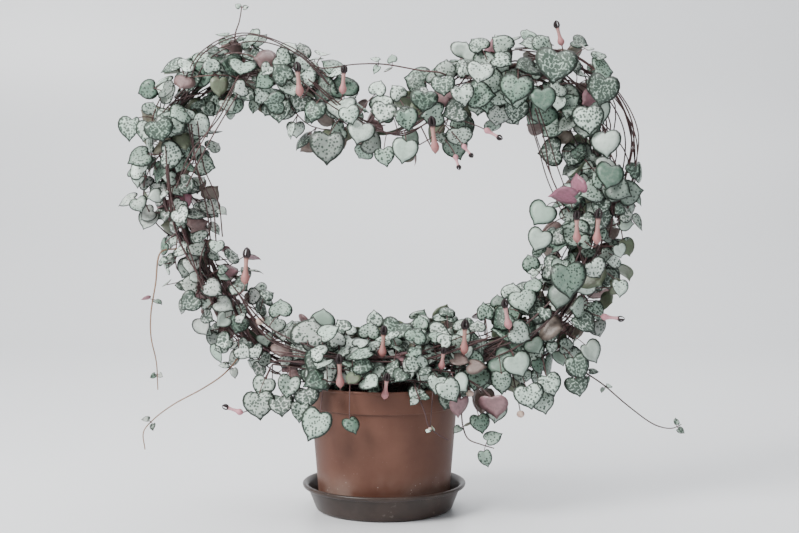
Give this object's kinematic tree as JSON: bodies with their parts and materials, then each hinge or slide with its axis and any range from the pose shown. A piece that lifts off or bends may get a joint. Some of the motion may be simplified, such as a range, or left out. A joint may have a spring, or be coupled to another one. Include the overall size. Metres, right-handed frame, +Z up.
{
  "type": "potted string of hearts",
  "caption": "Trailing vine of mottled heart-shaped leaves, trained round a heart-shaped wire hoop in a round nursery pot that stands on a saucer.",
  "frame": {"origin": "centre of the saucer's flat underside, where it stands on the table", "axes": "+Z up, the heart lies in the X-Z plane with its width along X, and the viewer looks at it along +Y, so the front faces -Y"},
  "size_m": [0.4504, 0.143, 0.4032],
  "materials": {
    "pot": "satin moulded terracotta-brown plastic with faint lime marks near the foot",
    "saucer": "dark grey-brown moulded plastic with a soft gloss on its rolled lip",
    "soil": "dark crumbly peat compost",
    "wire": "thin dark green coating on steel wire",
    "stem": "thin smooth purple-brown living stems",
    "leaf": "waxy fleshy leaf, silver-mint with dark green mottling above and mauve-green below",
    "flower": "matt salmon-pink tube with maroon-black tips",
    "tuber": "smooth pale corky bead"
  },
  "bodies": {
    "root": {"bridging_shoot": "stem", "crown_shoot_1": "leaf", "crown_shoot_2": "leaf", "crown_shoot_3": "leaf", "crown_shoot_4": "leaf", "crown_shoot_5": "leaf", "flower_01": "flower", "flower_02": "flower", "flower_03": "flower", "flower_04": "flower", "flower_05": "flower", "flower_06": "flower", "flower_07": "flower", "flower_08": "flower", "flower_09": "flower", "flower_10": "flower", "flower_11": "flower", "flower_12": "flower", "flower_13": "flower", "flower_14": "flower", "heart_hoop": "wire", "leafy_shoot_left_01": "leaf", "leafy_shoot_left_02": "leaf", "leafy_shoot_left_03": "leaf", "leafy_shoot_left_04": "leaf", "leafy_shoot_left_05": "leaf", "leafy_shoot_left_06": "leaf", "leafy_shoot_left_07": "leaf", "leafy_shoot_left_08": "leaf", "leafy_shoot_left_09": "leaf", "leafy_shoot_left_10": "leaf", "leafy_shoot_right_01": "leaf", "leafy_shoot_right_02": "leaf", "leafy_shoot_right_03": "leaf", "leafy_shoot_right_04": "leaf", "leafy_shoot_right_05": "leaf", "leafy_shoot_right_06": "leaf", "leafy_shoot_right_07": "leaf", "leafy_shoot_right_08": "leaf", "leafy_shoot_right_09": "leaf", "leafy_shoot_right_10": "leaf", "old_stem_left_1": "stem", "old_stem_left_2": "stem", "old_stem_left_3": "stem", "old_stem_right_1": "stem", "old_stem_right_2": "stem", "old_stem_right_3": "stem", "pot": "pot", "saucer": "saucer", "soil": "soil", "stem_tuber_1": "tuber", "stem_tuber_2": "tuber", "stem_tuber_3": "tuber", "tip_shoot": "stem", "trailing_shoot_left_lower": "stem", "trailing_shoot_left_upper": "stem", "trailing_shoot_pot_front": "stem", "trailing_shoot_pot_right": "stem", "trailing_shoot_right": "stem"}
  },
  "joints": []
}
